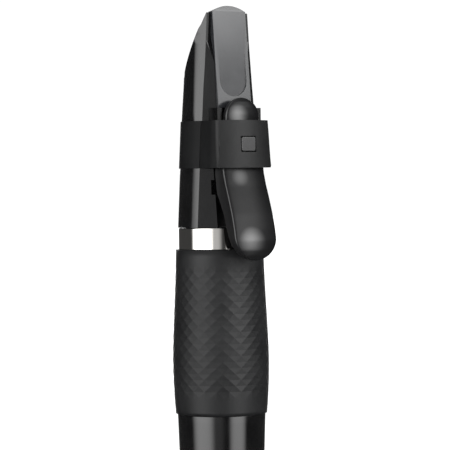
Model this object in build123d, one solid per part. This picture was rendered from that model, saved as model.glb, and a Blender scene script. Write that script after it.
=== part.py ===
"""Capped fibre-tip marker pen with a sprung clip, the kind used to test banknote paper.

Millimetres. The pen stands on its tail: +Z runs from the tail to the tip of the cap, and the clip
faces -Y. The origin is the middle of the tail plug's flat face.
"""

from build123d import *
import os

os.makedirs("parts", exist_ok=True)

# Lengths along the pen
OVERALL = 140.0
GRIP_BOTTOM = 77.8
GRIP_TOP = 102.83
LIP = 106.2
COLLAR_BOTTOM = 115.2
COLLAR_TOP = 122.35
EARS_TOP = 124.25
BEAK_TIP = 138.9

# Cap: a shallow cone with a flat table cut along the clip side
LIP_RADIUS = 6.42
CAP_DRAFT = 0.048
TABLE = 2.95
TABLE_WALL = 0.75
SKIRT_BORE = 4.85
SKIRT_BORE_TOP = 113.0
CHAMBER_BORE = 4.2
CHAMBER_TOP = 124.0
GROOVE_DEPTH = 0.55
SLOT_TOP_HALF = 2.8
SLOT_LIP_HALF = 2.3
NOTCH_LOW = 111.2
NOTCH_HIGH = 113.4
NOTCH_DEPTH = 0.35
RAIL_LIP_HALF = 3.27
RAIL_TOP_HALF = 3.54
RAIL_SLOPE = 0.75

# Front plate: a thin tongue below PLATE_BEND, a wedge that hooks over the beak above it
PLATE_HALF = 2.95
PLATE_LOW = 4.92
PLATE_HIGH = 3.45
PLATE_THICK = 0.55
PLATE_ARCH = 5.1
PLATE_BEND = 131.2
PLATE_TOP = 139.1
BEND_OUT = 4.0
HOOK_HEIGHT = 138.0
HOOK_OUT = 2.0
TAPE_THICK = 0.1
FLANK_WIDE = 2.16
FLANK_DEEP = 1.58
THUMB_RADIUS = 2.35
THUMB_HEIGHT = 128.4
THUMB_TOP = 133.5
THUMB_DEPTH = 0.33

# Clip hinge
PIN_OUT = 5.0
PIN_HEIGHT = 117.2
PIN_RADIUS = 0.45
PIN_PLAY = 0.04
EAR_FRONT = 6.08
EAR_HALF = 3.86
LEVER_HALF = 2.95
EAR_GAP = 0.08
LOBE_HALF = 3.65
LOBE_END = 101.3
KNUCKLE = 1.15
CROWN_RADIUS = 6.4
WIRE = 0.36

# Collar
COLLAR_WALL = 0.5
COLLAR_PROUD = 0.1
STUD_WIDE = 2.45
STUD_TALL = 2.15
STUD_HEIGHT = 118.75
STUD_BACK = 8.2
STUD_FACE = 8.7
STUD_SLACK = 0.12

# Pen body
GRIP_RADIUS = 7.38
GRIP_WIDEST = 85.8
GRIP_FOOT_RADIUS = 7.0
GRIP_HEAD_RADIUS = 6.7
RING_RADIUS = 6.32
BARREL_RADIUS = 6.79
NECK_RADIUS = 5.75
BARREL_BORE = 4.3
TAIL_RADIUS = 5.0
PLUG_FLANGE = 1.2
SPIGOT_RADIUS = 4.75
SPIGOT_FLAT = 2.1
SPIGOT_TOP = 112.6
LAND_RADIUS = 1.58
LAND_TOP = 117.5
NIB_RADIUS = 0.8
NIB_TIP = 121.6
RESERVOIR_RADIUS = 3.4
RESERVOIR_LOW = 14.0
RESERVOIR_HIGH = 100.5
NIB_LOW = 97.0
FILM = 0.12
GAP = 0.02


def cap_radius(z):
    """Outside radius of the cap at height z."""
    return LIP_RADIUS - CAP_DRAFT * (z - LIP)


def disc(radius, low, high):
    """Upright cylinder on the pen's axis."""
    return Pos(0, 0, (low + high) / 2) * Cylinder(radius, high - low)


def cone(low_radius, high_radius, low, high):
    """Upright frustum on the pen's axis."""
    return Pos(0, 0, (low + high) / 2) * Cone(low_radius, high_radius, high - low)


def block(x0, x1, out0, out1, z0, z1):
    """Box given by how far it stands out on the clip side."""
    size = (x1 - x0, out1 - out0, z1 - z0)
    return Pos((x0 + x1) / 2, -(out0 + out1) / 2, (z0 + z1) / 2) * Box(*size)


def turned(points):
    """Solid of revolution from (radius, z) points."""
    outline = Polyline(*[(r, 0, z) for r, z in points], close=True)
    return revolve(make_face(outline), Axis.Z)


def side_prism(edges, half):
    """Prism across the clip, from edges drawn in the pen's middle plane."""
    return extrude(make_face(edges), half, both=True)


def side_points(points):
    """(out, z) points as points of the pen's middle plane."""
    return [(0, -out, z) for out, z in points]


def save(node, shape):
    """Writes one node."""
    export_step(shape, f"parts/{node}.step")


# ---- Pen body ------------------------------------------------------------------------------


def make_barrel():
    """Gloss rear barrel in one piece with the neck that carries the grip."""
    tail = (TAIL_RADIUS, 0, PLUG_FLANGE)
    wall = Spline(tail, (5.35, 0, 24.0), (5.9, 0, 50.0), (BARREL_RADIUS, 0, GRIP_BOTTOM))
    up = [(BARREL_RADIUS, GRIP_BOTTOM), (NECK_RADIUS, GRIP_BOTTOM), (NECK_RADIUS, GRIP_TOP)]
    down = [(BARREL_BORE, GRIP_TOP), (BARREL_BORE, PLUG_FLANGE), (TAIL_RADIUS, PLUG_FLANGE)]
    rest = Polyline(*[(r, 0, z) for r, z in up + down])
    return revolve(make_face([wall, rest]), Axis.Z)


def make_grip():
    """Bulged rubber sleeve over the neck."""
    foot = (GRIP_FOOT_RADIUS, 0, GRIP_BOTTOM)
    belly = (GRIP_RADIUS, 0, GRIP_WIDEST)
    head = (GRIP_HEAD_RADIUS, 0, GRIP_TOP)
    lower = Spline(foot, (7.23, 0, 81.4), belly, tangents=[(0.1, 0, 1), (0, 0, 1)])
    upper = Spline(belly, (7.16, 0, 91.9), (6.86, 0, 98.1), head, tangents=[(0, 0, 1), (-0.03, 0, 1)])
    bore = NECK_RADIUS + GAP
    rest = Polyline(head, (bore, 0, GRIP_TOP), (bore, 0, GRIP_BOTTOM), foot)
    return revolve(make_face([lower, upper, rest]), Axis.Z)


def make_trim_ring():
    """Polished band between the grip and the cap."""
    ring = disc(RING_RADIUS, GRIP_TOP, LIP - 0.05) - disc(5.2, GRIP_TOP, LIP)
    return chamfer(ring.edges().filter_by(GeomType.CIRCLE).group_by(SortBy.RADIUS)[-1], 0.15)


def make_section():
    """Front section: a stem in the barrel, a keyed spigot for the cap and a land for its liner."""
    stem = disc(BARREL_BORE - GAP, 90.0, GRIP_TOP)
    shoulder = disc(5.18, GRIP_TOP, LIP)
    spigot = disc(SPIGOT_RADIUS, LIP, SPIGOT_TOP) - block(-9, 9, SPIGOT_FLAT, 9, LIP, SPIGOT_TOP)
    land = cone(2.05, LAND_RADIUS, SPIGOT_TOP, SPIGOT_TOP + 1.2) + disc(LAND_RADIUS, SPIGOT_TOP, LAND_TOP)
    body = stem + shoulder + spigot + land
    body -= disc(RESERVOIR_RADIUS + FILM + 2 * GAP, 90.0, RESERVOIR_HIGH + 0.6)
    body -= disc(NIB_RADIUS + GAP, 90.0, LAND_TOP)
    groove = disc(BARREL_BORE, 93.0, 94.0) - disc(BARREL_BORE - 0.45, 93.0, 94.0)
    return body - groove


def make_section_seal():
    """Rubber ring in the stem's groove."""
    return disc(BARREL_BORE - GAP, 93.05, 93.95) - disc(BARREL_BORE - 0.44, 93.05, 93.95)


def make_nib_sleeve():
    """Small plastic ferrule that holds the fibre nib."""
    sleeve = cone(1.45, 1.1, LAND_TOP, 119.4)
    return sleeve - disc(NIB_RADIUS + GAP, LAND_TOP, 119.4)


def make_nib():
    """Fibre rod with a bullet tip above and a point in the reservoir below."""
    rod = disc(NIB_RADIUS, NIB_LOW, NIB_TIP - NIB_RADIUS)
    tip = Pos(0, 0, NIB_TIP - NIB_RADIUS) * Sphere(NIB_RADIUS)
    root = cone(0.25, NIB_RADIUS, NIB_LOW - 1.2, NIB_LOW)
    return rod + tip + root


def make_reservoir():
    """Fibre rod that holds the testing fluid, pierced at its top by the nib."""
    rod = disc(RESERVOIR_RADIUS, RESERVOIR_LOW, RESERVOIR_HIGH)
    rod -= disc(NIB_RADIUS, NIB_LOW, RESERVOIR_HIGH)
    return rod - cone(0.25, NIB_RADIUS, NIB_LOW - 1.2, NIB_LOW)


def make_reservoir_film():
    """Plastic film wrapped round the reservoir."""
    outer = disc(RESERVOIR_RADIUS + FILM + GAP, RESERVOIR_LOW, RESERVOIR_HIGH)
    return outer - disc(RESERVOIR_RADIUS + GAP, RESERVOIR_LOW, RESERVOIR_HIGH)


def make_tail_plug():
    """Press-in plug that closes the barrel and stands the pen up; its ribs hold the reservoir."""
    flange = fillet(disc(TAIL_RADIUS, 0, PLUG_FLANGE).edges().group_by(Axis.Z)[0], 0.4)
    stem = disc(BARREL_BORE - GAP, PLUG_FLANGE, 9.0) - disc(3.2, PLUG_FLANGE + 1.0, 9.0)
    groove = disc(BARREL_BORE, 6.0, 7.0) - disc(BARREL_BORE - 0.45, 6.0, 7.0)
    plug = flange + stem - groove
    for turn in range(4):
        rib = Box(1.7, 0.7, RESERVOIR_LOW - PLUG_FLANGE)
        plug += Rot(0, 0, 90 * turn) * Pos(2.4, 0, (PLUG_FLANGE + RESERVOIR_LOW) / 2) * rib
    return plug


def make_plug_seal():
    """Rubber ring in the plug's groove."""
    return disc(BARREL_BORE - GAP, 6.05, 6.95) - disc(BARREL_BORE - 0.44, 6.05, 6.95)


# ---- Cap -------------------------------------------------------------------------------------


def wedge_height(out):
    """Height at which the wedge's sloping back stands this far out."""
    return PLATE_BEND + (BEND_OUT - out) * (HOOK_HEIGHT - PLATE_BEND) / (BEND_OUT - HOOK_OUT)


def seat_out(z):
    """How far out the seat's front stands at height z."""
    low = PLATE_LOW - PLATE_THICK - TAPE_THICK
    fall = (low - BEND_OUT + TAPE_THICK) / (PLATE_BEND - EARS_TOP)
    return low - fall * (z - EARS_TOP)


def seat_edges():
    """Side view of the raised seat under the front plate, from the table outwards."""
    foot = (seat_out(COLLAR_TOP), COLLAR_TOP)
    bend = (seat_out(PLATE_BEND), PLATE_BEND)
    return [(TABLE - 0.1, COLLAR_TOP), foot, bend, (TABLE - 0.1, wedge_height(TABLE))]


def seat_flanks():
    """Room of the seat: its front is as wide as the plate, and its flanks slope to the cap."""
    faces = []
    for z in (COLLAR_TOP, BEAK_TIP):
        front = seat_out(z)
        side, back = PLATE_HALF + FLANK_WIDE, front - FLANK_DEEP
        points = [(-side, -back, z), (-PLATE_HALF, -front, z), (PLATE_HALF, -front, z)]
        faces.append(make_face(Polyline(*points, (side, -back, z), close=True)))
    return loft(faces, ruled=True)


def beak_cutter():
    """Everything behind the scooped back of the beak."""
    scoop = ThreePointArc((0, -2.88, BEAK_TIP), (0, -0.25, 133.2), (0, 2.85, 128.4))
    corners = [(-2.85, 128.4), (-6.5, 124.2), (-9, 124.2), (-9, 145), (2.88, 145), (2.88, BEAK_TIP)]
    return side_prism([scoop, Polyline(*side_points(corners))], 9)


def slot_cutter():
    """Slot in the table, narrower at the lip, with two notches for the bracket's lugs."""
    top = EARS_TOP - 1.4
    outline = [(-SLOT_LIP_HALF, LIP - 1), (SLOT_LIP_HALF, LIP - 1), (SLOT_TOP_HALF, COLLAR_BOTTOM)]
    outline += [(SLOT_TOP_HALF, top), (-SLOT_TOP_HALF, top), (-SLOT_TOP_HALF, COLLAR_BOTTOM)]
    face = make_face(Polyline(*[(x, -1.9, z) for x, z in outline], close=True))
    slot = extrude(face, 3, dir=(0, -1, 0))
    reach = SLOT_TOP_HALF + NOTCH_DEPTH
    return slot + block(-reach, reach, 1.9, 4, NOTCH_LOW, NOTCH_HIGH)


def make_rail(side):
    """Rail beside the slot: it rises from the table's corner to a sharp inner edge."""
    faces = []
    for z, inner in ((LIP, RAIL_LIP_HALF), (COLLAR_BOTTOM, RAIL_TOP_HALF)):
        corner = (cap_radius(z) ** 2 - TABLE**2) ** 0.5
        crest = TABLE + RAIL_SLOPE * (corner - inner)
        foot = corner + 0.4
        low = TABLE - 0.4 * RAIL_SLOPE
        points = [(side * foot, -low, z), (side * inner, -crest, z), (side * inner, -low, z)]
        faces.append(make_face(Polyline(*points, close=True)))
    return loft(faces, ruled=True) & cone(LIP_RADIUS, cap_radius(BEAK_TIP), LIP, BEAK_TIP)


def d_bore(radius, flat, low, high):
    """Round bore with a flat on the clip side."""
    return disc(radius, low, high) - block(-9, 9, flat, 9, low, high)


def make_cap_shell():
    """Gloss cap: cone, flat table, scooped beak, raised plate seat, collar groove and slot."""
    shell = cone(LIP_RADIUS, cap_radius(BEAK_TIP), LIP, BEAK_TIP)
    shell -= block(-9, 9, TABLE, 9, LIP, BEAK_TIP + 1)
    seat = side_prism(Polyline(*side_points(seat_edges()), close=True), 9) & seat_flanks()
    seat &= cone(LIP_RADIUS, cap_radius(BEAK_TIP), LIP, BEAK_TIP)
    room = EAR_HALF + 2 * GAP
    seat -= block(-room, room, TABLE, 9, COLLAR_TOP - 1, EARS_TOP)
    start = (TABLE, wedge_height(TABLE + TAPE_THICK))
    end = (HOOK_OUT - TAPE_THICK, HOOK_HEIGHT)
    rails = make_rail(1) + make_rail(-1)
    notch = RAIL_TOP_HALF + NOTCH_DEPTH
    shell += rails - block(-notch, notch, TABLE, 9, NOTCH_LOW, NOTCH_HIGH)
    tip_relief = [start, end, (end[0], 141), (5, 141), (5, start[1])]
    shell += seat
    shell -= side_prism(Polyline(*side_points(tip_relief), close=True), PLATE_HALF + GAP)
    shell -= beak_cutter()
    shell -= d_bore(SKIRT_BORE, TABLE - TABLE_WALL, LIP, SKIRT_BORE_TOP)
    shell -= d_bore(CHAMBER_BORE, TABLE - TABLE_WALL, SKIRT_BORE_TOP, CHAMBER_TOP)
    groove_low = cap_radius(COLLAR_BOTTOM) - GROOVE_DEPTH
    groove_high = cap_radius(COLLAR_TOP) - GROOVE_DEPTH
    groove = disc(9, COLLAR_BOTTOM, COLLAR_TOP)
    groove -= cone(groove_low, groove_high, COLLAR_BOTTOM, COLLAR_TOP)
    shell -= groove
    return shell - slot_cutter()


def make_cap_liner():
    """Inner cap that seals on the section's land round the nib."""
    tube = disc(2.1, 114.0, CHAMBER_TOP - GAP) - disc(LAND_RADIUS + 0.03, 114.0, CHAMBER_TOP - 1)
    top = d_bore(CHAMBER_BORE - GAP, TABLE - TABLE_WALL - GAP, CHAMBER_TOP - 1, CHAMBER_TOP - GAP)
    return tube + top


def plate_out(z):
    """How far out the plate's front stands at height z."""
    return PLATE_LOW - (PLATE_LOW - PLATE_HIGH) * (z - EARS_TOP) / (PLATE_TOP - EARS_TOP)


def plate_sides():
    """Side view of the front plate: a thin tongue that thickens into a hook over the beak's tip."""
    low_back = PLATE_LOW - PLATE_THICK
    return [
        (PLATE_LOW, EARS_TOP + GAP),
        (PLATE_HIGH, PLATE_TOP),
        (3.2, OVERALL),
        (2.65, OVERALL),
        (HOOK_OUT, HOOK_HEIGHT),
        (BEND_OUT, PLATE_BEND),
        (low_back, EARS_TOP + GAP),
    ]


def make_front_plate():
    """Glossy front plate with an arched top and a shallow thumb scoop above the clip."""
    plate = side_prism(Polyline(*side_points(plate_sides()), close=True), PLATE_HALF)
    arch = Pos(0, -3, OVERALL - PLATE_ARCH) * Rot(90, 0, 0) * Cylinder(PLATE_ARCH, 12)
    keep = arch + block(-9, 9, -1, 9, EARS_TOP - 1, OVERALL - PLATE_ARCH)
    plate = plate & keep
    scoop = Pos(0, -4, THUMB_HEIGHT) * Rot(90, 0, 0) * Cylinder(THUMB_RADIUS, 8)
    scoop += block(-THUMB_RADIUS, THUMB_RADIUS, 0, 8, THUMB_HEIGHT, THUMB_TOP)
    low = THUMB_HEIGHT - THUMB_RADIUS
    floor = [(plate_out(THUMB_TOP), THUMB_TOP), (plate_out(low) - THUMB_DEPTH, low - 0.1)]
    floor += [(8, low - 0.1), (8, THUMB_TOP)]
    scoop &= side_prism(Polyline(*side_points(floor), close=True), 9)
    return plate - scoop


def make_plate_tape():
    """Thin adhesive pad between the plate and its seat."""
    low = PLATE_LOW - PLATE_THICK
    front = [(low, EARS_TOP + GAP), (BEND_OUT, PLATE_BEND)]
    points = front + [(BEND_OUT - TAPE_THICK, PLATE_BEND), (low - TAPE_THICK, EARS_TOP + GAP)]
    return side_prism(Polyline(*side_points(points), close=True), PLATE_HALF - 0.2)


def housing(bottom, top, shrink):
    """Body of the collar's box over the clip, from its two level sections."""
    faces = []
    for z, root, corner_x, corner_out, crown in (bottom, top):
        x_root = root - shrink
        x_corner = corner_x - shrink
        out = corner_out - shrink
        arc = ThreePointArc((-x_corner, -out, z), (0, -(crown - shrink), z), (x_corner, -out, z))
        right = [(x_corner, -out, z), (x_root, -TABLE, z), (x_root, 0, z)]
        left = [(-x_root, 0, z), (-x_root, -TABLE, z), (-x_corner, -out, z)]
        rest = Polyline(*right, *left)
        faces.append(make_face([arc, rest]))
    return loft(faces, ruled=True)


def make_collar():
    """Soft-touch collar that runs round the cap and boxes in the clip's hinge."""
    low_r = cap_radius(COLLAR_BOTTOM)
    high_r = cap_radius(COLLAR_TOP)
    bottom = (COLLAR_BOTTOM, 5.2, 4.85, 7.4, 8.87)
    top = (COLLAR_TOP, 4.85, 4.65, 6.95, 8.48)
    outer = cone(low_r + COLLAR_PROUD, high_r + COLLAR_PROUD, COLLAR_BOTTOM, COLLAR_TOP)
    outer -= block(-9, 9, TABLE, 9, COLLAR_BOTTOM, COLLAR_TOP)
    outer += housing(bottom, top, 0)
    back = cone(low_r - GROOVE_DEPTH + GAP, high_r - GROOVE_DEPTH + GAP, COLLAR_BOTTOM, COLLAR_TOP)
    inner = back + housing(bottom, top, COLLAR_WALL)
    collar = outer - inner
    half = STUD_WIDE / 2 + STUD_SLACK
    tall = STUD_TALL / 2 + STUD_SLACK
    return collar - block(-half, half, 6, 10, STUD_HEIGHT - tall, STUD_HEIGHT + tall)


def make_collar_stud():
    """Square stud pressed into the collar's window."""
    tall = STUD_TALL / 2
    half = STUD_WIDE / 2
    low, high = STUD_HEIGHT - tall, STUD_HEIGHT + tall
    stud = block(-half, half, STUD_BACK, STUD_FACE, low, high)
    return fillet(stud.edges().filter_by(Axis.Y), 0.3)


def make_clip_bracket():
    """Hinge bracket: a base in the cap's slot, two side lugs and two ears with the pin's holes."""
    half = SLOT_TOP_HALF - GAP
    base = block(-half, half, TABLE - TABLE_WALL + GAP, TABLE + 0.5, COLLAR_BOTTOM, EARS_TOP - 1.42)
    foot = block(-2.4, 2.4, TABLE - TABLE_WALL + GAP, TABLE + 0.35, NOTCH_LOW + GAP, COLLAR_BOTTOM)
    reach = SLOT_TOP_HALF + NOTCH_DEPTH - GAP
    lugs = block(-reach, reach, TABLE - TABLE_WALL + 0.1, TABLE + 0.05, NOTCH_LOW + 0.1, NOTCH_HIGH - 0.1)
    reach = RAIL_TOP_HALF + NOTCH_DEPTH - 2 * GAP
    lugs += block(-reach, reach, TABLE + GAP, TABLE + 0.85, NOTCH_LOW + 0.1, NOTCH_HIGH - 0.1)
    bracket = base + foot + lugs
    bracket += block(-EAR_HALF, EAR_HALF, TABLE + GAP, TABLE + 0.5, PIN_HEIGHT - 1.5, EARS_TOP)
    inside = LEVER_HALF + EAR_GAP
    for side in (-1, 1):
        low_x = min(side * inside, side * EAR_HALF)
        high_x = max(side * inside, side * EAR_HALF)
        bracket += block(low_x, high_x, TABLE + GAP, EAR_FRONT, PIN_HEIGHT - 1.5, EARS_TOP)
    hole = Pos(0, -PIN_OUT, PIN_HEIGHT) * Rot(0, 90, 0) * Cylinder(PIN_RADIUS + GAP, 12)
    return bracket - hole


def make_clip_pin():
    """Steel hinge pin."""
    pin = Pos(0, -PIN_OUT, PIN_HEIGHT) * Rot(0, 90, 0) * Cylinder(PIN_RADIUS, 2 * EAR_HALF)
    return chamfer(pin.edges().filter_by(GeomType.CIRCLE), 0.1)


# ---- Clip ------------------------------------------------------------------------------------


def lever_side():
    """Side view of the lever, from the dome's edge down the outside and up the inside."""
    outer = [(6.9, 125.75), (7.4, 124.7), (7.62, 123.2), (7.7, 119.5), (7.75, 114.8), (8.5, 111.8)]
    outer += [(9.75, 108.8), (10.65, 105.4), (10.9, 103.2), (10.55, 101.9), (9.9, LOBE_END)]
    inner = [(9.2, 101.9), (8.75, 103.6), (7.75, 106.2), (7.07, 108.3), (5.1, 111.4), (4.8, 114.6)]
    inner += [(4.6, 116.2), (5.9, 118.4), (6.3, 124.2), (6.4, 125.4)]
    return outer + inner


def lever_front():
    """Front view of the lever: arched dome, straight waist between the ears, rounded lobe."""
    waist = PIN_HEIGHT - 1.5 - 0.15
    dome_base = 125.75 - LEVER_HALF
    lobe_base = 105.2
    shoulder = waist - 0.4
    dome_top = (0, 0, dome_base + LEVER_HALF)
    dome = ThreePointArc((LEVER_HALF, 0, dome_base), dome_top, (-LEVER_HALF, 0, dome_base))
    lobe = ThreePointArc((LOBE_HALF, 0, lobe_base), (0, 0, LOBE_END), (-LOBE_HALF, 0, lobe_base))
    sides = []
    for side in (1, -1):
        down = [(side * LEVER_HALF, 0, dome_base), (side * LEVER_HALF, 0, waist)]
        down += [(side * (LOBE_HALF - 0.1), 0, shoulder), (side * LOBE_HALF, 0, lobe_base)]
        sides.append(Polyline(*down))
    return make_face([dome, lobe, *sides])


def make_clip_lever():
    """Satin clip lever: a dome to press, two knuckles on the pin and a spoon-shaped lobe."""
    side = side_prism(Polyline(*side_points(lever_side()), close=True), LOBE_HALF)
    knuckles = Pos(0, -PIN_OUT, PIN_HEIGHT) * Rot(0, 90, 0) * Cylinder(KNUCKLE, 2 * LEVER_HALF)
    lever = side + knuckles
    lever &= extrude(lever_front(), 14, dir=(0, -1, 0))
    crown = Pos(0, CROWN_RADIUS - 7.7, 118) * Cylinder(CROWN_RADIUS, 40)
    neck = crown + block(-9, 9, 0, 14, 99, 113.5)
    lever &= neck
    spring_room = Pos(0, -PIN_OUT, PIN_HEIGHT) * Rot(0, 90, 0) * Cylinder(KNUCKLE + 0.15, 2.6)
    spring_room += block(-1.3, 1.3, 3, PIN_OUT, PIN_HEIGHT - 2.2, PIN_HEIGHT + 1.6)
    lever -= spring_room
    hole = Pos(0, -PIN_OUT, PIN_HEIGHT) * Rot(0, 90, 0) * Cylinder(PIN_RADIUS + PIN_PLAY, 12)
    return lever - hole


def make_clip_pad():
    """Rubber pad on the inside of the lobe, which presses on the trim ring."""
    points = [(8.2, 105.0), (6.5, 105.0), (6.5, 103.3), (8.84, 103.3)]
    pad = side_prism(Polyline(*side_points(points), close=True), 1.6)
    return pad


def make_clip_spring():
    """Torsion spring on the pin: three closed coils."""
    coil_radius = PIN_RADIUS + 0.12 + WIRE / 2
    pitch = WIRE + 0.06
    turns = 3
    path = Helix(pitch, pitch * turns, coil_radius)
    profile = Plane(path @ 0, z_dir=path % 0) * Circle(WIRE / 2)
    coil = sweep(profile, path)
    return Pos(-pitch * turns / 2, -PIN_OUT, PIN_HEIGHT) * Rot(0, 90, 0) * coil


save("barrel", make_barrel())
save("grip_sleeve", make_grip())
save("trim_ring", make_trim_ring())
save("section", make_section())
save("section_seal", make_section_seal())
save("nib_sleeve", make_nib_sleeve())
save("nib", make_nib())
save("reservoir", make_reservoir())
save("reservoir_film", make_reservoir_film())
save("tail_plug", make_tail_plug())
save("plug_seal", make_plug_seal())
save("cap_shell", make_cap_shell())
save("cap_liner", make_cap_liner())
save("front_plate", make_front_plate())
save("plate_tape", make_plate_tape())
save("collar", make_collar())
save("collar_stud", make_collar_stud())
save("clip_bracket", make_clip_bracket())
save("clip_pin", make_clip_pin())
save("clip_lever", make_clip_lever())
save("clip_pad", make_clip_pad())
save("clip_spring", make_clip_spring())
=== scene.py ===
"""Capped testing pen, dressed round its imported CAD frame. Meshes are worked in millimetres and
written in metres, and "out" means towards the clip side, which is -Y."""
import math

import bmesh
import bpy
from mathutils import Matrix, Vector


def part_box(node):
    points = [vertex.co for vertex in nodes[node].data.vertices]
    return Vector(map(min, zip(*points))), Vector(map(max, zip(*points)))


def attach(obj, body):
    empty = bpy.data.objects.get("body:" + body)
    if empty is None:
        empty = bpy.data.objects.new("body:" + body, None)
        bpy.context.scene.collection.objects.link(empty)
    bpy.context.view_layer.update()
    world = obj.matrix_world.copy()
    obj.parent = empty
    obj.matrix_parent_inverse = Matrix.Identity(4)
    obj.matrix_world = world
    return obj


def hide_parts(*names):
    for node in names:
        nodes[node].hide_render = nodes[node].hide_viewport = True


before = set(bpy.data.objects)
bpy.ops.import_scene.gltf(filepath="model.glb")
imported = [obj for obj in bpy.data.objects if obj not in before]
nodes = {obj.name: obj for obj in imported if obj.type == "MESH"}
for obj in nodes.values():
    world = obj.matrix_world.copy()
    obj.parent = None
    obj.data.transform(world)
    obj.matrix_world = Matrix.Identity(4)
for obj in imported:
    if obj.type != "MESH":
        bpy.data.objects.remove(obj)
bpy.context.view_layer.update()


# ---- Barrel --------------------------------------------------------------------------------
# The rear half of the pen: one injection-moulded tube in high-gloss black plastic, tapering to
# the tail. Its neck runs up under the rubber grip and carries the front section.

MM = 0.001
SHARP = math.radians(28)
CREASE = math.radians(38)


def corners_mm(node):
    """A CAD node's lowest and highest corners in millimetres."""
    low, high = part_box(node)
    return low / MM, high / MM


def smooth_curve(points, per_span):
    """Points along a smooth curve through the given (radius, height) points."""
    line = []
    for i in range(len(points) - 1):
        before = Vector(points[max(i - 1, 0)])
        a, b = Vector(points[i]), Vector(points[i + 1])
        after = Vector(points[min(i + 2, len(points) - 1)])
        for step in range(per_span):
            t = step / per_span
            arrive = (b - before) * 0.5
            leave = (after - a) * 0.5
            p = (2 * t**3 - 3 * t**2 + 1) * a + (t**3 - 2 * t**2 + t) * arrive
            line.append(p + (3 * t**2 - 2 * t**3) * b + (t**3 - t**2) * leave)
    line.append(Vector(points[-1]))
    return line


def turn(bm, outline, steps, closed=True):
    """Turns (radius, height) points into a body round the pen's axis."""
    verts = [bm.verts.new((r, 0, z)) for r, z in outline]
    edges = [bm.edges.new(pair) for pair in zip(verts, verts[1:])]
    if closed:
        edges.append(bm.edges.new((verts[-1], verts[0])))
    spin = dict(cent=(0, 0, 0), axis=(0, 0, 1), angle=math.tau, steps=steps, use_merge=True)
    bmesh.ops.spin(bm, geom=verts + edges, use_duplicate=False, **spin)
    bmesh.ops.remove_doubles(bm, verts=bm.verts, dist=1e-5)
    bmesh.ops.recalc_face_normals(bm, faces=bm.faces)


def round_edges(bm, edges, width, segments):
    """Rounds the given edges."""
    bmesh.ops.bevel(
        bm, geom=edges, offset=width, offset_type="OFFSET", affect="EDGES", segments=segments,
        profile=0.5, material=-1, clamp_overlap=True,
    )


def soften(bm, width, segments=3, angle=SHARP, where=None):
    """Rounds the sharp edges, as a moulded part's are."""
    edges = [e for e in bm.edges if e.is_manifold and e.calc_face_angle() > angle]
    if where:
        edges = [e for e in edges if where((e.verts[0].co + e.verts[1].co) / 2)]
    round_edges(bm, edges, width, segments)


def shown(bm, name, body, material, stands_for, crease=CREASE):
    """Writes the mesh as a piece that rides on a body, and hides the CAD node it stands for."""
    bmesh.ops.scale(bm, vec=(MM, MM, MM), verts=bm.verts)
    mesh = bpy.data.meshes.new(name)
    bm.to_mesh(mesh)
    bm.free()
    if crease:
        mesh.shade_smooth()
        mesh.set_sharp_from_angle(angle=crease)
    mesh.materials.append(material)
    piece = bpy.data.objects.new(name, mesh)
    bpy.context.scene.collection.objects.link(piece)
    if crease:
        piece.modifiers.new("flat_faces_first", "WEIGHTED_NORMAL").keep_sharp = True
    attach(piece, body)
    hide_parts(stands_for)
    return piece


def group_with(name, inputs, output):
    """An empty shader node group with float inputs and one float output."""
    group = bpy.data.node_groups.new(name, "ShaderNodeTree")
    for label, value in inputs.items():
        socket = group.interface.new_socket(label, in_out="INPUT", socket_type="NodeSocketFloat")
        socket.default_value = value
    group.interface.new_socket(output, in_out="OUTPUT", socket_type="NodeSocketFloat")
    return group, group.nodes.new("NodeGroupInput"), group.nodes.new("NodeGroupOutput")


def feed(tree, socket, source):
    """Sets a socket to a plain number, or links it to an output."""
    if isinstance(source, (int, float)):
        socket.default_value = source
    else:
        tree.links.new(source, socket)


def clouds(tree, place, scale, detail=2.0, roughness=0.5):
    """Output of a noise that varies with the place."""
    node = tree.nodes.new("ShaderNodeTexNoise")
    tree.links.new(place, node.inputs["Vector"])
    for label, source in zip(("Scale", "Detail", "Roughness"), (scale, detail, roughness)):
        feed(tree, node.inputs[label], source)
    return node.outputs["Fac"]


def ramp(tree, value, start, end, low=0.0, high=1.0, soft=True):
    """Output that goes from low to high while the value goes from start to end."""
    node = tree.nodes.new("ShaderNodeMapRange")
    node.interpolation_type = "SMOOTHSTEP" if soft else "LINEAR"
    labels = ("Value", "From Min", "From Max", "To Min", "To Max")
    for label, source in zip(labels, (value, start, end, low, high)):
        feed(tree, node.inputs[label], source)
    return node.outputs["Result"]


def calculated(tree, operation, *values):
    """Output of Math nodes that join all the values by one operation."""
    result = values[0]
    for value in values[1:]:
        node = tree.nodes.new("ShaderNodeMath")
        node.operation = operation
        feed(tree, node.inputs[0], result)
        feed(tree, node.inputs[1], value)
        result = node.outputs["Value"]
    return result


def object_place(tree):
    """Output of the place on the object, in metres."""
    return tree.nodes.new("ShaderNodeTexCoord").outputs["Object"]


def make_handling_group():
    """Mask of faint smudges and fine dust that handling leaves on a moulded surface."""
    group, into, out = group_with("handling_marks", {"Size": 180.0, "Contrast": 0.5}, "Mask")
    place = object_place(group)
    cloud = clouds(group, place, into.outputs["Size"], detail=6.0, roughness=0.62)
    smudges = ramp(group, cloud, 0.35, 0.7, soft=False)
    specks = ramp(group, clouds(group, place, 4200.0), 0.66, 0.78, soft=False)
    both = calculated(group, "MAXIMUM", smudges, specks)
    mask = calculated(group, "MULTIPLY", both, into.outputs["Contrast"])
    group.links.new(mask, out.inputs["Mask"])
    return group


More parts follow.
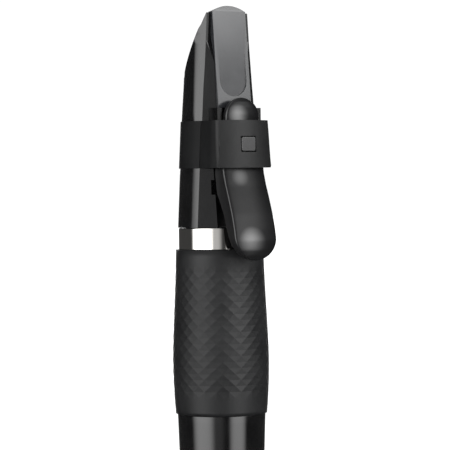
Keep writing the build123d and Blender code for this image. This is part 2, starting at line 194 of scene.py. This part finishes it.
def make_grain_group():
    """Height of the fine grain that a moulding tool leaves, with a slow ripple under it."""
    group, into, out = group_with("moulded_grain", {"Grain": 3000.0, "Ripple": 0.3}, "Height")
    place = object_place(group)
    fine = clouds(group, place, into.outputs["Grain"], detail=3.0)
    slow = clouds(group, place, 140.0)
    ripple = calculated(group, "MULTIPLY", slow, into.outputs["Ripple"])
    group.links.new(calculated(group, "ADD", fine, ripple), out.inputs["Height"])
    return group


HANDLING = make_handling_group()
GRAIN = make_grain_group()
GRAIN_DEPTH = 0.00002


def new_material(name, settings):
    """A material, its node tree and its Principled shader with some sockets set."""
    material = bpy.data.materials.new(name)
    material.use_nodes = True
    shader = material.node_tree.nodes["Principled BSDF"]
    for label, value in settings.items():
        shader.inputs[label].default_value = value
    return material, material.node_tree, shader


def handling_mask(tree, contrast):
    """Output of the handling marks at a given contrast."""
    marks = tree.nodes.new("ShaderNodeGroup")
    marks.node_tree = HANDLING
    marks.inputs["Contrast"].default_value = contrast
    return marks.outputs["Mask"]


def tinted(tree, mask, first, second):
    """Output of a colour that goes from the first to the second with a mask."""
    node = tree.nodes.new("ShaderNodeMix")
    node.data_type = "RGBA"
    node.inputs["A"].default_value = (*first, 1)
    node.inputs["B"].default_value = (*second, 1)
    tree.links.new(mask, node.inputs["Factor"])
    return node.outputs["Result"]


def relief(tree, height, strength, depth):
    """Output of a normal that is bent by a height."""
    node = tree.nodes.new("ShaderNodeBump")
    node.inputs["Strength"].default_value = strength
    node.inputs["Distance"].default_value = depth
    tree.links.new(height, node.inputs["Height"])
    return node.outputs["Normal"]


def moulded(name, dark, light, clean, handled, grain=3000.0, bump=0.1, settings=None):
    """Plastic or rubber: a colour and roughness that vary with handling, over moulded grain."""
    material, tree, shader = new_material(name, settings or {})
    mask = handling_mask(tree, 1.0)
    surface = tree.nodes.new("ShaderNodeGroup")
    surface.node_tree = GRAIN
    surface.inputs["Grain"].default_value = grain
    grained = relief(tree, surface.outputs["Height"], bump, GRAIN_DEPTH)
    roughness = ramp(tree, mask, 0.0, 1.0, clean, handled, soft=False)
    tree.links.new(tinted(tree, mask, dark, light), shader.inputs["Base Color"])
    tree.links.new(roughness, shader.inputs["Roughness"])
    tree.links.new(grained, shader.inputs["Normal"])
    return material


gloss_black = moulded(
    "gloss_black_plastic", (0.0035, 0.0035, 0.0037), (0.006, 0.006, 0.0062), 0.09, 0.16,
    bump=0.02, settings={"IOR": 1.5},
)

barrel_low, barrel_high = corners_mm("barrel")
grip_low, grip_high = corners_mm("grip_sleeve")
NECK_RADIUS = 5.7
BORE_RADIUS = 4.3
BARREL_TOP_RADIUS = 6.79
BARREL_FOOT_RADIUS = 5.0
ROUND_STEPS = 160
taper = [
    (BARREL_FOOT_RADIUS, barrel_low.z), (5.35, 24.0), (5.9, 50.0), (BARREL_TOP_RADIUS, grip_low.z),
]
bm = bmesh.new()
outline = smooth_curve(taper, 14)
outline += [Vector((NECK_RADIUS, grip_low.z)), Vector((NECK_RADIUS, barrel_high.z))]
outline += [Vector((BORE_RADIUS, barrel_high.z)), Vector((BORE_RADIUS, barrel_low.z))]
turn(bm, outline, ROUND_STEPS)
soften(bm, 0.12)
shown(bm, "barrel_tube", "pen", gloss_black, "barrel")


# ---- Tail plug -----------------------------------------------------------------------------
# A press-in plug of the same gloss black plastic closes the tail. Its rounded rim is the foot
# that the pen stands on, and a shallow dished face keeps the rim flat on the desk.

DISH_DEPTH = 0.25
STEM_RADIUS = 4.27
STEM_TOP = 9.0
bm = bmesh.new()
foot = [(0, DISH_DEPTH), (3.4, DISH_DEPTH), (3.9, 0), (4.5, 0), (4.86, 0.14)]
flange = [(BARREL_FOOT_RADIUS, 0.5), (BARREL_FOOT_RADIUS, barrel_low.z - 0.06)]
stem = [(STEM_RADIUS, barrel_low.z), (STEM_RADIUS, STEM_TOP), (0, STEM_TOP)]
turn(bm, foot + flange + stem, 128, closed=False)
soften(bm, 0.05, 2)
shown(bm, "tail_plug_cap", "pen", gloss_black, "tail_plug")


# ---- Grip ----------------------------------------------------------------------------------
# A bulged sleeve of matt black rubber, moulded with rows of shallow diamond facets between two
# plain bands, and pushed over the barrel's neck.

DIAMONDS = 24
DIAMOND_TALL = 1.8
DIMPLE = 0.07
FACETS_LOW = 80.6
FACET_ROWS = 22
BAND_EDGE = 0.25
WALL_MIDDLE = 6.3
grip_shape = [
    (7.0, grip_low.z), (7.15, 79.8), (7.3, 82.4), (7.37, 85.8), (7.3, 88.9), (7.16, 91.9),
    (7.01, 95.0), (6.86, 98.1), (6.75, 101.1), (6.7, grip_high.z),
]
grip_line = smooth_curve(grip_shape, 12)


def grip_radius(z):
    """Outside radius of the grip at height z."""
    for a, b in zip(grip_line, grip_line[1:]):
        if z <= b.y:
            return a.x + (b.x - a.x) * (z - a.y) / (b.y - a.y)
    return grip_line[-1].x


def facet_place(co):
    """Column and row of a point in the facet lattice."""
    column = round(math.atan2(co.y, co.x) / math.pi * DIAMONDS)
    row = round((co.z - FACETS_LOW) / (DIAMOND_TALL / 2))
    return column, row


rubber = moulded(
    "grip_rubber", (0.0075, 0.0077, 0.0082), (0.013, 0.0133, 0.0138), 0.46, 0.56,
    grain=2600.0, bump=0.3, settings={"Specular IOR Level": 0.3},
)
facet_heights = [FACETS_LOW + i * DIAMOND_TALL / 2 for i in range(FACET_ROWS + 1)]
facets_high = facet_heights[-1]
heights = [grip_low.z, grip_low.z + 0.5, grip_low.z + 1.1, FACETS_LOW - BAND_EDGE]
heights += facet_heights
heights += [facets_high + BAND_EDGE, (facets_high + grip_high.z) / 2, grip_high.z]
sleeve_bore = NECK_RADIUS + 0.05
bm = bmesh.new()
outline = [(grip_radius(z), z) for z in heights]
outline += [(sleeve_bore, grip_high.z), (sleeve_bore, grip_low.z)]
turn(bm, outline, 2 * DIAMONDS)
lattice = []
for v in bm.verts:
    outside = v.co.to_2d().length > WALL_MIDDLE
    if not outside or not FACETS_LOW - 0.01 < v.co.z < facets_high + 0.01:
        continue
    column, row = facet_place(v.co)
    if (column + row) % 2 == 0:
        lattice.append(v)
    elif 0 < row < FACET_ROWS:
        keep = 1 - DIMPLE / v.co.to_2d().length
        v.co = Vector((v.co.x * keep, v.co.y * keep, v.co.z))
bmesh.ops.connect_verts(bm, verts=lattice)
grip = shown(bm, "grip_sleeve_rubber", "pen", rubber, "grip_sleeve", crease=None)
for face in grip.data.polygons:
    face.use_smooth = not FACETS_LOW < face.center.z / MM < facets_high


# ---- Trim ring -----------------------------------------------------------------------------
# A turned metal band, polished and plated, that fills the step between the grip and the cap. It
# is pressed over the front section's shoulder.

ring_low, ring_high = corners_mm("trim_ring")
RING_BORE = 5.2
plated, tree, shader = new_material("polished_plating", {"Metallic": 1.0})
mask = handling_mask(tree, 0.5)
plating = tinted(tree, mask, (0.83, 0.81, 0.78), (0.74, 0.71, 0.67))
tree.links.new(plating, shader.inputs["Base Color"])
gloss = ramp(tree, mask, 0.0, 1.0, 0.06, 0.16, soft=False)
tree.links.new(gloss, shader.inputs["Roughness"])
bm = bmesh.new()
outline = [(RING_BORE, ring_low.z), (ring_high.x, ring_low.z)]
outline += [(ring_high.x, ring_high.z), (RING_BORE, ring_high.z)]
turn(bm, outline, ROUND_STEPS)
soften(bm, 0.14)
shown(bm, "trim_ring_band", "pen", plated, "trim_ring")


# ---- Front section -------------------------------------------------------------------------
# Satin black moulding in the barrel's mouth. Its flatted spigot keys the cap, and the thin land
# above it carries the small ferrule that grips the pressed-fibre nib.


def merged(node):
    """A copy of a CAD node's mesh in millimetres, with its triangles joined into whole faces."""
    bm = bmesh.new()
    bm.from_mesh(nodes[node].data)
    bmesh.ops.scale(bm, vec=(1 / MM, 1 / MM, 1 / MM), verts=bm.verts)
    bmesh.ops.remove_doubles(bm, verts=bm.verts, dist=0.002)
    bmesh.ops.dissolve_limit(
        bm, angle_limit=math.radians(0.8), verts=bm.verts, edges=bm.edges, delimit={"NORMAL"},
    )
    return bm


satin_black = moulded(
    "satin_black_plastic", (0.006, 0.006, 0.0063), (0.01, 0.01, 0.0104), 0.27, 0.36,
)
bm = merged("section")
soften(bm, 0.12)
shown(bm, "front_section", "pen", satin_black, "section")

bm = merged("nib_sleeve")
soften(bm, 0.06, 2)
shown(bm, "nib_ferrule", "pen", satin_black, "nib_sleeve")


def streaks(tree, scale, detail=2.0):
    """Output of a noise whose streaks follow a scale along each axis."""
    stretch = tree.nodes.new("ShaderNodeMapping")
    stretch.inputs["Scale"].default_value = scale
    tree.links.new(object_place(tree), stretch.inputs["Vector"])
    return clouds(tree, stretch.outputs["Vector"], 1.0, detail=detail)


def fibrous(name, dark, light, across, along):
    """Felted fibre: fine streaks along the pen's axis in two tones, with a rough surface."""
    material, tree, shader = new_material(name, {"Roughness": 0.9})
    strands = streaks(tree, (across, across, along), detail=5.0)
    tree.links.new(tinted(tree, strands, dark, light), shader.inputs["Base Color"])
    tree.links.new(relief(tree, strands, 0.5, 0.00005), shader.inputs["Normal"])
    return material


def dress(node, material):
    """Gives a CAD node that stays as it is a better material."""
    nodes[node].data.materials.clear()
    nodes[node].data.materials.append(material)


dress("nib", fibrous("nib_felt", (0.42, 0.31, 0.1), (0.72, 0.6, 0.32), 9000, 1500))


# ---- Hidden pieces in the barrel -----------------------------------------------------------
# The fluid reservoir is a bonded-fibre rod in a clear film, standing on the tail plug's ribs.
# Two rubber rings seal the plug and the front section.

dress("reservoir", fibrous("reservoir_felt", (0.5, 0.42, 0.22), (0.8, 0.72, 0.5), 5000, 500))
film = moulded(
    "clear_film", (0.75, 0.76, 0.78), (0.84, 0.85, 0.86), 0.15, 0.3,
    settings={"Transmission Weight": 0.9},
)
dress("reservoir_film", film)
seal = moulded("seal_rubber", (0.012, 0.012, 0.012), (0.025, 0.025, 0.025), 0.55, 0.7)
dress("section_seal", seal)
dress("plug_seal", seal)


# ---- Cap -----------------------------------------------------------------------------------
# A gloss black moulding with a flat table down the clip side, a slot for the hinge bracket, a
# raised seat for the front plate, and a back that is scooped away to a thin beak.

BEAK_FOOT = 123.0
BEAK_RISE = 8.0
BEAK_SKIN = 4.3
TABLE_CORNER = 3.4
TABLE_FRONT = -2
CORNER_SLIM = 0.06
BACK_SLIM = 0.03
CREST_FOOT = 134.0
CREST_DROP = 0.035


def lower_crest(bm):
    """Brings the tip of the beak and of the front plate down a little."""
    for v in bm.verts:
        v.co.z -= CREST_DROP * max(v.co.z - CREST_FOOT, 0)


bm = merged("cap_shell")
for v in bm.verts:
    up = min(max((v.co.z - BEAK_FOOT) / BEAK_RISE, 0), 1)
    corner = abs(v.co.x) > TABLE_CORNER
    if v.co.to_2d().length <= BEAK_SKIN:
        continue
    if corner and v.co.y < TABLE_FRONT:
        v.co.x *= 1 - CORNER_SLIM * up
    elif corner or v.co.y > 0:
        v.co.x *= 1 - BACK_SLIM * up
        v.co.y *= 1 - BACK_SLIM * up
lower_crest(bm)
soften(bm, 0.09, angle=math.radians(10))
shown(bm, "cap_moulding", "cap", gloss_black, "cap_shell")

liner = moulded(
    "natural_polyethylene", (0.55, 0.55, 0.52), (0.66, 0.66, 0.63), 0.4, 0.55,
    settings={"Subsurface Weight": 0.3, "Subsurface Radius": (0.001, 0.001, 0.001)},
)
dress("cap_liner", liner)


# ---- Front plate ---------------------------------------------------------------------------
# A smooth dark grey plate with an arched top and a thumb scoop above the clip. A thin adhesive
# pad holds its tongue to the seat, and its thick end hooks over the beak.

SCOOP_HALF = 2.6
SCOOP_TOP = 136
ARCH_FOOT = 138
plate_plastic = moulded(
    "dark_grey_gloss", (0.02, 0.021, 0.023), (0.027, 0.028, 0.031), 0.14, 0.2,
    bump=0.03, settings={"IOR": 1.6},
)
bm = merged("front_plate")
lower_crest(bm)
soften(bm, 0.05, 2, where=lambda p: abs(p.x) < SCOOP_HALF and p.z < SCOOP_TOP)
soften(
    bm, 0.2, 4, angle=math.radians(50), where=lambda p: abs(p.x) > SCOOP_HALF or p.z > ARCH_FOOT,
)
shown(bm, "front_plate_glossy", "cap", plate_plastic, "front_plate")

foam = moulded("tape_foam", (0.25, 0.25, 0.25), (0.36, 0.36, 0.35), 0.7, 0.9, bump=0.6)
dress("plate_tape", foam)


# ---- Hinge bracket, pin and spring ---------------------------------------------------------
# The bracket is a black moulding that clicks into the cap's slot by two side lugs. A drawn steel
# pin crosses its ears, with a torsion spring of steel wire in the middle.

bracket_plastic = moulded(
    "bracket_black", (0.003, 0.003, 0.0032), (0.005, 0.005, 0.0052), 0.22, 0.34,
    bump=0.08, settings={"Specular IOR Level": 0.25},
)
bm = merged("clip_bracket")
soften(bm, 0.1)
shown(bm, "hinge_bracket", "cap", bracket_plastic, "clip_bracket")


def drawn_wire(name, tint, scale):
    """Bright steel with fine drawing lines, whose streaks follow a scale along each axis."""
    material, tree, shader = new_material(name, {"Metallic": 1.0})
    lines = streaks(tree, scale)
    steel = tinted(tree, lines, [c * 0.8 for c in tint], tint)
    polish = ramp(tree, lines, 0.0, 1.0, 0.2, 0.4, soft=False)
    tree.links.new(steel, shader.inputs["Base Color"])
    tree.links.new(polish, shader.inputs["Roughness"])
    return material


dress("clip_pin", drawn_wire("pin_steel", (0.62, 0.61, 0.6), (300, 8000, 8000)))
dress("clip_spring", drawn_wire("spring_steel", (0.56, 0.56, 0.58), (8000, 900, 900)))


# ---- Collar and stud -----------------------------------------------------------------------
# A soft-touch black collar in the cap's groove boxes in the hinge. Handling polishes the front
# of its box, and a small square stud in its window stops it from turning.

BOX_FOOT = -0.0052
BOX_FRONT = -0.0066
BOX_CORNER_OUT = 7.9
BOX_CORNER_TALL = 6


def place_along(tree, axis):
    """Output of the place along one of the object's axes, in metres."""
    split = tree.nodes.new("ShaderNodeSeparateXYZ")
    tree.links.new(object_place(tree), split.inputs["Vector"])
    return split.outputs[axis]


def coated(material, shine, roughness):
    """Gives a matt material a polish, as a coat whose weight is the shine mask."""
    shader = material.node_tree.nodes["Principled BSDF"]
    shader.inputs["Specular IOR Level"].default_value = 0.02
    shader.inputs["Coat IOR"].default_value = 1.8
    shader.inputs["Coat Roughness"].default_value = roughness
    material.node_tree.links.new(shine, shader.inputs["Coat Weight"])


soft_touch = moulded(
    "soft_touch_black", (0.0062, 0.0064, 0.0067), (0.0095, 0.0097, 0.01), 0.5, 0.6,
    grain=4200.0, bump=0.2,
)
tree = soft_touch.node_tree
coated(soft_touch, ramp(tree, place_along(tree, "Y"), BOX_FOOT, BOX_FRONT, 0.08, 0.3), 0.55)
bm = merged("collar")
upright = [
    e for e in bm.edges
    if e.is_manifold and e.calc_face_angle() > math.radians(20)
    and abs(e.verts[0].co.z - e.verts[1].co.z) > BOX_CORNER_TALL
    and min(v.co.to_2d().length for v in e.verts) > BOX_CORNER_OUT
]
round_edges(bm, upright, 0.4, 5)
soften(bm, 0.09)
shown(bm, "hinge_collar", "cap", soft_touch, "collar")

stud_black = moulded(
    "stud_satin_black", (0.01, 0.01, 0.0104), (0.016, 0.016, 0.0165), 0.2, 0.28,
    bump=0.05, settings={"IOR": 1.6},
)
bm = merged("collar_stud")
soften(bm, 0.1)
shown(bm, "square_stud", "cap", stud_black, "collar_stud")


# ---- Clip lever ----------------------------------------------------------------------------
# One satin black moulding: a dome to press above the collar, two knuckles on the pin, and a
# spoon-shaped lobe that curves back in at its end. Thumbs polish spots of it and one rim, and a
# rubber pad inside the lobe holds the cloth.

WAIST_HALF = 2.95
WAIST_FOOT = 115.9
WAIST_FLARE = 0.6
LOBE_ARC = 3.66
ROWS, COLUMNS = 120, 28
RIM_ROUND = 0.2
CROWN_POWER = 0.8
BACK_SHRINK = 0.995
PIN_OUT, PIN_Z = 5.0, 117.2
KNUCKLE_BORE, KNUCKLE_RADIUS = 0.49, 1.15
KNUCKLE_NEAR, KNUCKLE_FAR = 1.35, 2.93
WORN_SPOTS = (
    ((-0.0009, -0.0107, 0.1043), 0.0029, 0.95),
    ((-0.0012, -0.0081, 0.1138), 0.0024, 0.4),
    ((-0.0012, -0.0077, 0.1230), 0.0026, 0.85),
)
lever_low, lever_high = corners_mm("clip_lever")
lobe_half = lever_high.x
lobe_arc_z = lever_low.z + LOBE_ARC
crown_line = [
    (lever_high.z, 6.75), (125.2, 7.2), (124.4, 7.46), (123.2, 7.6), (119.5, 7.66), (116.6, 7.66),
    (114.6, 7.86), (112.6, 8.37), (110.5, 9.16), (108.2, 9.98), (106.0, 10.56), (104.2, 10.84),
    (102.9, 10.86), (102.0, 10.66), (lever_low.z, 10.35),
]
rise_line = [
    (lever_high.z, 0.0), (125.2, 0.3), (124.0, 0.55), (122.0, 0.7), (116.0, 0.72), (114.5, 0.74),
    (111.8, 0.56), (108.8, 0.5), (105.0, 0.42), (102.6, 0.24), (lever_low.z, 0.0),
]
back_line = [
    (lever_high.z, 6.35), (124.2, 6.25), (118.9, 5.98), (115.9, 5.98), (115.2, 4.85), (114.4, 4.8),
    (111.4, 5.3), (108.3, 7.1), (106.2, 7.85), (103.6, 8.95), (102.0, 9.3), (lever_low.z, 9.55),
]


def along(line, z):
    """Value at height z on a line of (height, value) points given from the top down."""
    for (high, a), (low, b) in zip(line, line[1:]):
        if z >= low:
            t = min(max((high - z) / (high - low), 0), 1)
            return a + (b - a) * t
    return line[-1][1]


def lever_half(z):
    """Half-width of the lever at height z: round dome, straight waist, round-ended lobe."""
    dome = lever_high.z - WAIST_HALF
    if z > dome:
        return math.sqrt(max(WAIST_HALF**2 - (z - dome) ** 2, 0))
    if z < lobe_arc_z:
        return math.sqrt(max(LOBE_ARC**2 - (z - lobe_arc_z) ** 2, 0))
    step = min(max((WAIST_FOOT - z) / WAIST_FLARE, 0), 1)
    return WAIST_HALF + (lobe_half - WAIST_HALF) * step * step * (3 - 2 * step)


def worn_spot(tree, centre, reach, most):
    """Mask of a polished spot, from most at its centre to nothing at its reach."""
    away = tree.nodes.new("ShaderNodeVectorMath")
    away.operation = "DISTANCE"
    away.inputs[1].default_value = centre
    tree.links.new(object_place(tree), away.inputs[0])
    return ramp(tree, away.outputs["Value"], 0.0, reach, most, 0.0)


bm = bmesh.new()
rim_layer = bm.verts.layers.float.new("rim_wear")
bmesh.ops.create_grid(bm, x_segments=COLUMNS, y_segments=ROWS, size=1.0)
middle = (lever_low.z + lever_high.z) / 2
reach = (lever_high.z - lever_low.z) / 2
for v in bm.verts:
    side = math.sin(v.co.x * math.pi / 2)
    z = middle + reach * math.sin(v.co.y * math.pi / 2)
    half = lever_half(z)
    from_edge = min(half * (1 - abs(side)) / RIM_ROUND, 1)
    round_off = RIM_ROUND * (1 - math.sqrt(1 - (1 - from_edge) ** 2))
    fall = along(rise_line, z) * (1 - (1 - side**2) ** CROWN_POWER)
    out = along(crown_line, z) - fall - round_off
    v.co = Vector((side * half, -out, z))
    v[rim_layer] = 1 - from_edge if side < 0 else 0
inner = [v for v in bm.verts if not v.is_boundary]
for smoothing in range(2):
    bmesh.ops.smooth_vert(bm, verts=inner, factor=0.5, use_axis_y=True)
rim = [e for e in bm.edges if e.is_boundary]
back = bmesh.ops.duplicate(bm, geom=bm.verts[:] + bm.edges[:] + bm.faces[:])["geom"]
for v in [g for g in back if isinstance(g, bmesh.types.BMVert)]:
    v.co.y = -along(back_line, v.co.z)
    v.co.x *= BACK_SHRINK
back_rim = [g for g in back if isinstance(g, bmesh.types.BMEdge) and g.is_boundary]
bmesh.ops.bridge_loops(bm, edges=rim + back_rim)
bmesh.ops.remove_doubles(bm, verts=bm.verts, dist=0.004)
bmesh.ops.dissolve_degenerate(bm, dist=0.002, edges=bm.edges)
bmesh.ops.recalc_face_normals(bm, faces=bm.faces)
soften(bm, 0.2, 5, angle=math.radians(45))
for side in (-1, 1):
    knuckle = bmesh.new()
    outline = [(KNUCKLE_BORE, KNUCKLE_NEAR), (KNUCKLE_RADIUS, KNUCKLE_NEAR)]
    outline += [(KNUCKLE_RADIUS, KNUCKLE_FAR), (KNUCKLE_BORE, KNUCKLE_FAR)]
    turn(knuckle, outline, 48)
    place = Matrix.Translation((0, -PIN_OUT, PIN_Z)) @ Matrix.Rotation(side * math.pi / 2, 4, "Y")
    bmesh.ops.transform(knuckle, matrix=place, verts=knuckle.verts)
    tube = bpy.data.meshes.new("knuckle")
    knuckle.to_mesh(tube)
    knuckle.free()
    bm.from_mesh(tube)
    bpy.data.meshes.remove(tube)

lever_black = moulded(
    "lever_satin_black", (0.006, 0.006, 0.0063), (0.01, 0.01, 0.0104), 0.3, 0.38,
)
tree = lever_black.node_tree
rim_wear = tree.nodes.new("ShaderNodeAttribute")
rim_wear.attribute_name = "rim_wear"
rim_shine = ramp(tree, rim_wear.outputs["Fac"], 0.1, 0.5, 0.0, 0.5)
side_shine = ramp(tree, place_along(tree, "X"), -0.0005, 0.0028, 0.13, 0.02)
spots = [worn_spot(tree, *spot) for spot in WORN_SPOTS]
coated(lever_black, calculated(tree, "MAXIMUM", rim_shine, side_shine, *spots), 0.34)
shown(bm, "clip_lever_satin", "clip", lever_black, "clip_lever")

pad_rubber = moulded(
    "pad_rubber", (0.01, 0.01, 0.01), (0.02, 0.02, 0.02), 0.55, 0.7, bump=0.4,
)
bm = merged("clip_pad")
soften(bm, 0.2, 4)
shown(bm, "lobe_pad", "clip", pad_rubber, "clip_pad")


# ---- Camera, floor and light ---------------------------------------------------------------
# A long lens on the pen's cap end and a pale floor. Soft light banks to the left and right of the
# camera with dark between, as gloss black plastic is usually lit, a high panel for the clip side,
# and weaker banks behind and in the middle.

CAMERA_AZIMUTH = math.radians(-32)
CAMERA_DISTANCE = 0.360
CAMERA_HEIGHT = 0.1135
CAMERA_AIM = 0.1065
CAMERA_ASIDE = 0.00086
CAMERA_ROLL = math.radians(-0.7)
LENS_MM = 188.2
SENSOR_MM = 36
toward = Vector((math.sin(CAMERA_AZIMUTH), -math.cos(CAMERA_AZIMUTH), 0))
aside = Vector((math.cos(CAMERA_AZIMUTH), math.sin(CAMERA_AZIMUTH), 0)) * CAMERA_ASIDE
lens = bpy.data.cameras.new("camera")
lens.lens = LENS_MM
lens.sensor_width = SENSOR_MM
lens.clip_start = 0.01
camera = bpy.data.objects.new("camera", lens)
bpy.context.scene.collection.objects.link(camera)
camera.location = toward * CAMERA_DISTANCE + aside + Vector((0, 0, CAMERA_HEIGHT))
aim = Vector((0, 0, CAMERA_AIM)) + aside - camera.location
roll = Matrix.Rotation(CAMERA_ROLL, 3, "Z").to_quaternion()
camera.rotation_mode = "QUATERNION"
camera.rotation_quaternion = aim.to_track_quat("-Z", "Y") @ roll
bpy.context.scene.camera = camera
bpy.context.scene.view_settings.view_transform = "Standard"

BANK_TOP = (0.85, 0.25)
BANK_FOOT = (-0.5, -0.12)
PANEL_SIDE = 64
PANEL_SPREAD = 30
PANEL_EDGE = 12
PANEL_FOOT = (0.12, 0.34)
PANEL_TOP = (0.8, 0.45)
PANEL_STRENGTH = 6.0
OVERHEAD_RING = (0.72, 0.98)
OVERHEAD_STRENGTH = 1.6
AMBIENT = 0.06
BACKDROP = 1.05
world = bpy.data.worlds.new("studio")
bpy.context.scene.world = world
world.use_nodes = True
tree = world.node_tree
tree.nodes.clear()
link = tree.links.new
coords = tree.nodes.new("ShaderNodeTexCoord")
split = tree.nodes.new("ShaderNodeSeparateXYZ")
link(coords.outputs["Generated"], split.inputs["Vector"])
height = split.outputs["Z"]
flat = tree.nodes.new("ShaderNodeCombineXYZ")
link(split.outputs["X"], flat.inputs["X"])
link(split.outputs["Y"], flat.inputs["Y"])
level = tree.nodes.new("ShaderNodeVectorMath")
level.operation = "NORMALIZE"
link(flat.outputs["Vector"], level.inputs[0])


def cosine(degrees):
    """Cosine of an angle in degrees."""
    return math.cos(math.radians(degrees))


def facing(side_degrees):
    """How squarely a ray looks to a side, by the angle round from the camera."""
    angle = CAMERA_AZIMUTH + math.radians(side_degrees)
    node = tree.nodes.new("ShaderNodeVectorMath")
    node.operation = "DOT_PRODUCT"
    node.inputs[1].default_value = (math.sin(angle), -math.cos(angle), 0)
    link(level.outputs["Vector"], node.inputs[0])
    return node.outputs["Value"]


def light_bank(side_degrees, strength, spread):
    """Radiance of a broad soft bank that stands to one side of the camera."""
    across = ramp(tree, facing(side_degrees), cosine(spread), 1.0)
    upright = ramp(tree, height, *BANK_TOP)
    foot = ramp(tree, height, *BANK_FOOT)
    return calculated(tree, "MULTIPLY", across, upright, foot, strength)


left_bank = light_bank(-50, 5.8, 35)
right_bank = light_bank(43, 5.4, 27)
back_bank = light_bank(180, 3.0, 26)
between = light_bank(-14, 0.6, 24)
panel_across = ramp(tree, facing(PANEL_SIDE), cosine(PANEL_SPREAD), cosine(PANEL_EDGE))
panel_up = ramp(tree, height, *PANEL_FOOT)
panel_top = ramp(tree, height, *PANEL_TOP)
panel = calculated(tree, "MULTIPLY", panel_across, panel_up, panel_top, PANEL_STRENGTH)
overhead = calculated(tree, "MULTIPLY", ramp(tree, height, *OVERHEAD_RING), OVERHEAD_STRENGTH)
sources = (left_bank, right_bank, panel, back_bank, between, overhead, AMBIENT)
total = calculated(tree, "ADD", *sources)
light = tree.nodes.new("ShaderNodeBackground")
link(total, light.inputs["Strength"])
backdrop = tree.nodes.new("ShaderNodeBackground")
backdrop.inputs["Color"].default_value = (1, 1, 1, 1)
backdrop.inputs["Strength"].default_value = BACKDROP
ray = tree.nodes.new("ShaderNodeLightPath")
choose = tree.nodes.new("ShaderNodeMixShader")
link(ray.outputs["Is Camera Ray"], choose.inputs["Fac"])
link(light.outputs["Background"], choose.inputs[1])
link(backdrop.outputs["Background"], choose.inputs[2])
world_out = tree.nodes.new("ShaderNodeOutputWorld")
link(choose.outputs["Shader"], world_out.inputs["Surface"])

bm = bmesh.new()
bmesh.ops.create_grid(bm, x_segments=1, y_segments=1, size=6.0)
mesh = bpy.data.meshes.new("floor")
bm.to_mesh(mesh)
bm.free()
floor_settings = {
    "Base Color": (0.85, 0.85, 0.85, 1),
    "Roughness": 0.9,
    "Emission Color": (1, 1, 1, 1),
    "Emission Strength": 0.45,
}
mesh.materials.append(new_material("pale_floor", floor_settings)[0])
floor = bpy.data.objects.new("floor", mesh)
bpy.context.scene.collection.objects.link(floor)
floor.visible_glossy = False
